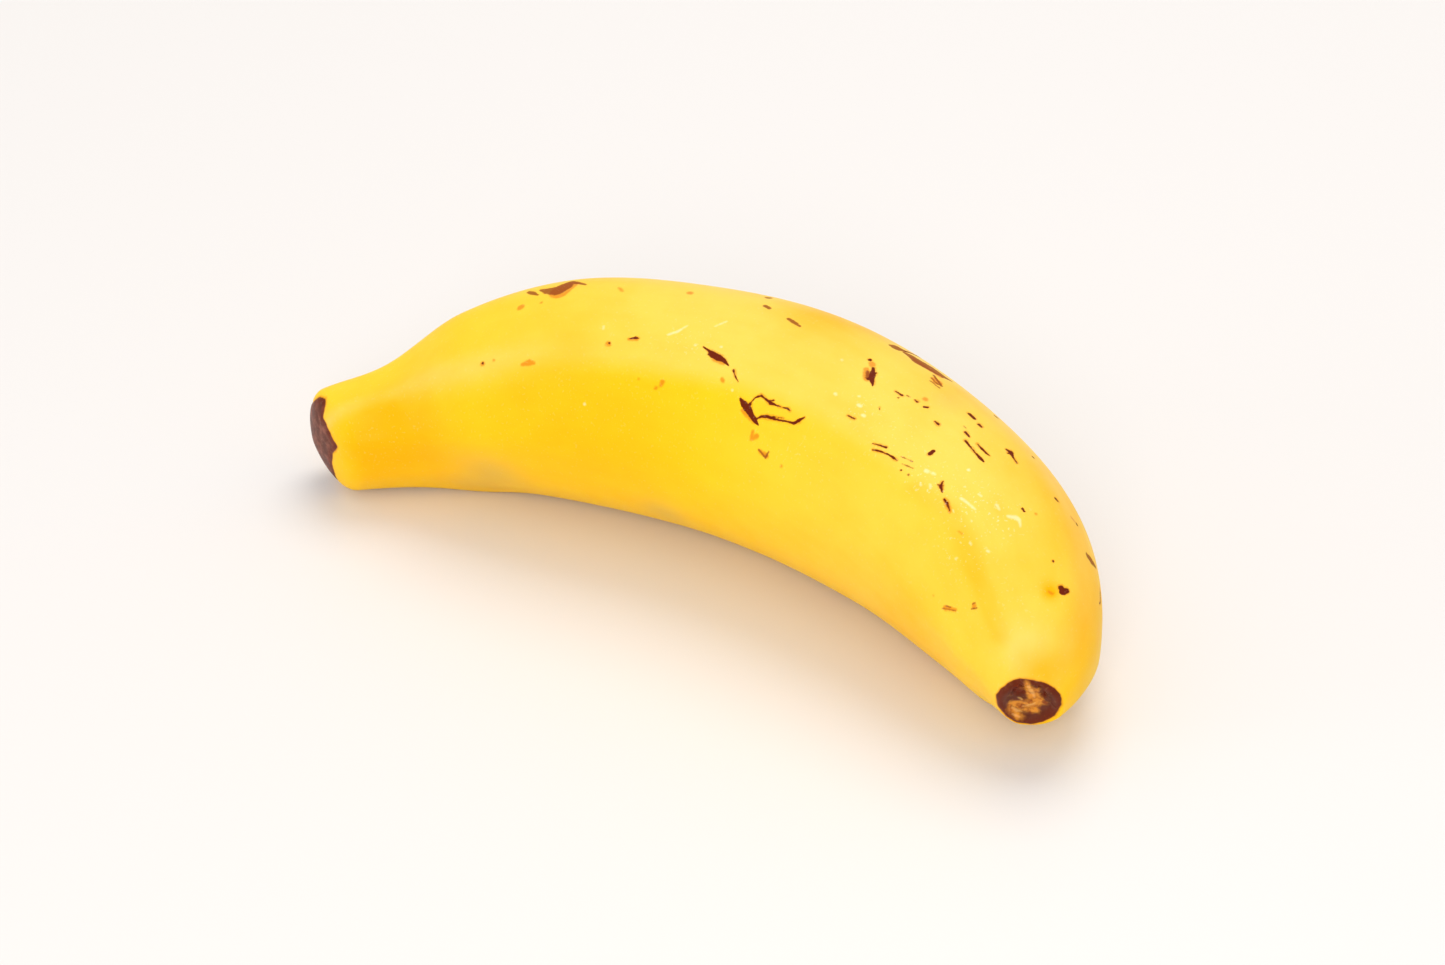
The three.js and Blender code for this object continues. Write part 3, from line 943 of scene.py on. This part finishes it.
def noise(t, place, size, detail=3.0, roughness=0.5):
    """Noise whose features are about that size."""
    inputs = {"Vector": place, "Scale": 1 / size, "Detail": detail, "Roughness": roughness}
    return t.add("ShaderNodeTexNoise", inputs).outputs["Fac"]


def uneven(t, place, size, detail=3.0, roughness=0.5):
    """Noise around 0, for tones and edges that waver."""
    return t.math("SUBTRACT", noise(t, place, size, detail, roughness), 0.5)


def held(t, name):
    """A value that the skin holds for each of its points."""
    return t.add("ShaderNodeAttribute", attribute_name=name).outputs["Fac"]


def cover(t, gap, start, end):
    """How much a mark covers: all where the gap is below start, nothing where it is above end."""
    return t.math("SUBTRACT", 1.0, band(t, gap, start, end))


def peel_colour(t, place, colour):
    """Ripe peel: paler under painted light, deeper under painted shade in hollows and with mottle and
    streaks, dull where bruised.
    """
    straight = t.add("ShaderNodeAttribute", attribute_name="straight").outputs["Vector"]
    streaks = uneven(t, t.vector("MULTIPLY", straight, STREAK_STRETCH), STREAKS, 4.0)
    slow = band(t, noise(t, place, SLOW_PATCHES, 2.0), 0.4, 0.8)
    # Painted shade in hollows and where less light falls, with random slow patches, mottle and streaks
    deep = t.math("MULTIPLY_ADD", slow, 0.3, held(t, "deep"))
    deep = t.math("MULTIPLY_ADD", uneven(t, place, MOTTLE), 0.5, deep)
    deep = t.math("MULTIPLY_ADD", streaks, 0.35, deep)
    # Painted light: paler under the painted sheen and highlights
    skin = mixed(t, held(t, "bloom"), colour("peel"), colour("bloom"))
    skin = mixed(t, deep, skin, colour("shade"))
    return mixed(t, t.math("MULTIPLY", held(t, "grey"), 0.7), skin, colour("grey"))


def brown_ends(t, place, colour, skin, coarse):
    """The skin with its dry brown ends and the wet amber core. Also returns where the brown is."""
    gap = t.math("MULTIPLY_ADD", coarse, END_WAVER, held(t, "end_gap"))
    bark = cover(t, gap, *END_EDGE)
    rim = t.math("MULTIPLY", cover(t, gap, *END_RIM), 0.75)
    skin = mixed(t, rim, skin, colour("amber"))
    fibre = band(t, noise(t, place, DRY_FIBRE, 4.0, 0.6), 0.4, 0.72)
    dry = t.math("MULTIPLY", fibre, t.math("MULTIPLY_ADD", held(t, "wet"), -0.75, 1.0))
    brown = mixed(t, dry, colour("bark"), colour("dry"))
    near_edge = t.math("MULTIPLY", band(t, gap, *END_MARGIN), 0.6)
    skin = mixed(t, bark, skin, mixed(t, near_edge, brown, colour("dark")))
    swirled = t.math("MULTIPLY_ADD", coarse, CORE_WAVER, held(t, "core_gap"))
    core = t.math("MULTIPLY", cover(t, swirled, *CORE_EDGE), held(t, "wet"))
    swirls = band(t, noise(t, place, WET_SWIRL, 3.0), 0.3, 0.6)
    return mixed(t, core, skin, mixed(t, swirls, colour("rust"), colour("core"))), bark


def marked(t, place, colour, skin, bark, coarse):
    """The skin with its marks, the lowest first. Also returns the dry, the pale and the wet parts."""
    ragged = uneven(t, place, RAGGED_EDGE, 4.0, 0.7)

    def mark(kind):
        soft, rough = MARK_EDGES[kind]
        return cover(t, t.math("MULTIPLY_ADD", ragged, rough, held(t, kind + "_gap")), -soft, soft)

    freckles = t.math("MULTIPLY", mark("amber"), t.math("MULTIPLY_ADD", bark, 0.1, 0.8))
    halo = cover(t, t.math("MULTIPLY_ADD", coarse, HALO_WAVER, held(t, "dark_gap")), *HALO_EDGE)
    halo = t.math("MULTIPLY", halo, 0.55)
    skin = mixed(t, t.math("MAXIMUM", freckles, halo), skin, colour("amber"))
    bruises = mark("rust")
    skin = mixed(t, t.math("MULTIPLY", bruises, 0.88), skin, colour("rust"))
    strokes = mark("dark")
    skin = mixed(t, strokes, skin, colour("dark"))
    flecks = band(t, noise(t, place, FLECKS, 2.0), 0.62, 0.7)
    flecks = t.math("MULTIPLY", flecks, t.math("MULTIPLY", held(t, "scuff"), 0.5))
    scratches = t.math("MULTIPLY", mark("pale"), 0.5)
    pale = t.math("MAXIMUM", scratches, flecks)
    wet = t.math("MULTIPLY", bark, held(t, "wet"))
    # On the wet core the pale strokes are golden streaks and painted glints
    skin = mixed(t, pale, skin, mixed(t, wet, colour("pale"), colour("gold_and_glint")))
    # Painted shade: the pit is darkened as the shade in its hollow
    pit = t.math("MULTIPLY", t.math("MULTIPLY", mark("pit"), bark), 0.8)
    skin = mixed(t, pit, skin, colour("dark"))
    return skin, t.math("MAXIMUM", strokes, bruises), pale, wet


def skin_material(colours):
    """Ripe waxy skin with painted light and shade, freckles, bruises, dark strokes, scuffs and brown ends.
    """
    material = bpy.data.materials.new("banana_skin")
    material.use_nodes = True
    material.node_tree.nodes.clear()
    t = Tree(material.node_tree)
    place = t.add("ShaderNodeTexCoord").outputs["Object"]
    coarse = uneven(t, place, COARSE_EDGE)

    def colour(name):
        return (*getattr(colours, name), 1.0)

    skin = peel_colour(t, place, colour)
    skin, bark = brown_ends(t, place, colour, skin, coarse)
    skin, dry, pale, wet = marked(t, place, colour, skin, bark, coarse)

    roughness = PEEL_ROUGHNESS
    for part, change in ((uneven(t, place, MOTTLE), 0.16), (pale, -0.12), (dry, 0.36), (wet, -0.16)):
        roughness = t.math("MULTIPLY_ADD", part, change, roughness)
    pores = t.math("MULTIPLY", noise(t, place, PORES, 3.0), PORE_DEPTH)
    bump = t.add("ShaderNodeBump", {"Strength": 0.35, "Distance": 1.0, "Height": pores})
    shader = t.add("ShaderNodeBsdfPrincipled", {
        "Base Color": skin,
        "Roughness": roughness,
        "Subsurface Weight": 0.25,
        "Subsurface Radius": (1.0, 0.55, 0.12),
        "Subsurface Scale": 0.0025,
        "Specular IOR Level": 0.14,
        "Specular Tint": (1.0, 0.8, 0.42, 1.0),
        "Coat Weight": 0.03,
        "Coat Roughness": 0.3,
        "Normal": bump.outputs[0],
    })
    t.add("ShaderNodeOutputMaterial", {"Surface": shader.outputs[0]})
    return material


def all_strokes(mesh, pencil, seed):
    """The strokes of each kind: those of the photograph, then those of the hidden sides."""
    seen = {"dark": DARK_MARKS, "rust": RUST_MARKS, "amber": AMBER_MARKS, "pale": PALE_MARKS}
    hidden = hidden_marks(mesh, seed)
    strokes = {kind: [pencil.stroke(mark) for mark in marks] + hidden[kind] for kind, marks in seen.items()}
    strokes["core"] = [pencil.stroke(mark) for mark in CORE_STROKES]
    # The golden streaks and painted glints of the wet core are pale strokes
    strokes["pale"] += [pencil.stroke(mark) for mark in CORE_STREAKS_AND_GLINTS]
    strokes["pit"] = [pencil.stroke(mark) for mark in CORE_PIT]
    return strokes


def know_marks(mesh, pencil, strokes, middle):
    """Stores for each point how far it lies from the marks, its tones, its painted light and shade, and its
    dents.
    """
    points = points_of(mesh)
    gaps = {kind: gap_to(points, lines, FAR_FROM_MARKS) for kind, lines in strokes.items()}
    gaps["dark"] -= DARK_GROWTH
    gaps["end"] = end_gaps(mesh, pencil, middle)
    for kind, gap in gaps.items():
        store(mesh, kind + "_gap", gap)
    # Painted shade: along the soft groove near the blossom end and in the shade patches
    crease_shade = np.maximum(gap_to(points, [pencil.stroke(CREASE_SHADE)], FAR_FROM_CREASE), 0)
    crease_shade = CREASE_STRENGTH * np.exp(-((crease_shade / CREASE_FADE) ** 2))
    store(mesh, "deep", patches(points, pencil, SHADE_PATCHES) + crease_shade)
    store(mesh, "grey", patches(points, pencil, GREY_PATCHES))
    # Painted light: the sheen, the lighter side and the highlight patches
    store(mesh, "bloom", patches(points, pencil, HIGHLIGHT_PATCHES) + painted_light_on(mesh))
    store(mesh, "scuff", np.maximum(patches(points, pencil, SCUFF_PATCHES), LEAST_SCUFF))
    store(mesh, "wet", fetch(mesh, "along") > 0.5)
    store(mesh, "straight", straightened(mesh))
    store(mesh, "dent", dents(points, pencil, gaps))


class BANANA_OT_fruit(bpy.types.Operator):
    """Make the fruit: wrap its skin, draw its marks and colour it"""
    bl_idname = "banana.fruit"
    bl_label = "Fruit"

    def execute(self, context):
        shape, colours = context.scene.banana_shape, context.scene.banana_colours
        material = skin_material(colours)
        tree = wrap_tree()
        sheet = skin_sheet(shape.rows, shape.columns)
        know_rings(sheet)
        store(sheet, "dent", np.zeros(len(sheet.vertices)))

        # The first wrapping shows how far the fruit has to move to lie where its solid does
        points = points_of(wrapped(sheet, tree, shape, material, close=False))
        low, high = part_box("banana")
        middle = (points.min(axis=0) + points.max(axis=0) - np.array(low) - np.array(high))[:2] / 2
        know_rings(sheet, middle)

        # The second, still open at its seam, is drawn on and made finer near the marks
        skin = wrapped(sheet, tree, shape, material, close=False)
        pencil = PhotoPencil(skin)
        strokes = all_strokes(skin, pencil, shape.seed)
        sharp = strokes["dark"] + strokes["rust"]
        refine(skin, strokes["amber"] + strokes["pale"] + strokes["core"] + sharp, REFINE_REACHES)
        refine(skin, sharp, SHARP_REACHES)
        know_rings(skin, middle)
        know_marks(skin, pencil, strokes, middle)

        finished = wrapped(skin, tree, shape, material, close=True)
        finished.name = "banana_skin"
        fruit = bpy.data.objects.new("banana_skin", finished)
        context.scene.collection.objects.link(fruit)
        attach(fruit, "root")
        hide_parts("banana")
        return {"FINISHED"}


def set_table(scene, colour):
    """A plain table top under the fruit."""
    mesh = bpy.data.meshes.new("table")
    corners = [(-1, -1), (1, -1), (1, 1), (-1, 1)]
    mesh.from_pydata([(x * TABLE_HALF, y * TABLE_HALF, 0) for x, y in corners], [], [(0, 1, 2, 3)])
    table = bpy.data.objects.new("table", mesh)
    scene.collection.objects.link(table)
    material = bpy.data.materials.new("table_top")
    material.use_nodes = True
    shader = material.node_tree.nodes["Principled BSDF"]
    shader.inputs["Base Color"].default_value = (*colour, 1)
    shader.inputs["Roughness"].default_value = TABLE_ROUGHNESS
    mesh.materials.append(material)


def set_lamps(scene, stage):
    """The round lamps, each pointing at the fruit, and the light of the room."""
    for name, place, size, tint in LAMPS:
        lamp = bpy.data.lights.new(name, "AREA")
        lamp.shape = "DISK"
        lamp.size = size
        lamp.energy = getattr(stage, name)
        lamp.color = tint
        light = bpy.data.objects.new(name, lamp)
        light.location = place
        light.rotation_euler = (-Vector(place)).to_track_quat("-Z", "Y").to_euler()
        scene.collection.objects.link(light)
    world = bpy.data.worlds.new("room")
    world.use_nodes = True
    world.node_tree.nodes["Background"].inputs["Color"].default_value = ROOM_COLOUR
    world.node_tree.nodes["Background"].inputs["Strength"].default_value = stage.room
    scene.world = world


def set_camera(scene):
    """The camera, where the photograph was taken from."""
    lens = bpy.data.cameras.new("camera")
    lens.lens = LENS
    lens.sensor_width = SENSOR
    lens.clip_start = 0.01
    camera = bpy.data.objects.new("camera", lens)
    camera.location = view_place()
    camera.rotation_euler = view_turn()
    scene.collection.objects.link(camera)
    scene.camera = camera
    scene.view_settings.view_transform = "Standard"


class BANANA_OT_stage(bpy.types.Operator):
    """Set the table, the soft light and the camera"""
    bl_idname = "banana.stage"
    bl_label = "Table, light and camera"

    def execute(self, context):
        stage = context.scene.banana_stage
        set_table(context.scene, stage.table)
        set_lamps(context.scene, stage)
        set_camera(context.scene)
        return {"FINISHED"}


class BANANA_PT_panel(bpy.types.Panel):
    """The banana's sizes, colours and steps"""
    bl_label = "Banana"
    bl_idname = "BANANA_PT_panel"
    bl_space_type = "VIEW_3D"
    bl_region_type = "UI"
    bl_category = "Banana"

    def draw(self, context):
        for group in ("banana_shape", "banana_colours", "banana_stage"):
            settings = getattr(context.scene, group)
            for name in settings.__annotations__:
                self.layout.prop(settings, name)
        for step in STEPS:
            self.layout.operator(step.bl_idname)


STEPS = (BANANA_OT_fruit, BANANA_OT_stage)
CLASSES = (FruitShape, FruitColours, TableAndLight, *STEPS, BANANA_PT_panel)


def register():
    for cls in CLASSES:
        bpy.utils.register_class(cls)
    bpy.types.Scene.banana_shape = PointerProperty(type=FruitShape)
    bpy.types.Scene.banana_colours = PointerProperty(type=FruitColours)
    bpy.types.Scene.banana_stage = PointerProperty(type=TableAndLight)


def unregister():
    del bpy.types.Scene.banana_stage
    del bpy.types.Scene.banana_colours
    del bpy.types.Scene.banana_shape
    for cls in reversed(CLASSES):
        bpy.utils.unregister_class(cls)


def main():
    register()
    bpy.ops.banana.fruit()
    bpy.ops.banana.stage()


if __name__ == "__main__":
    main()
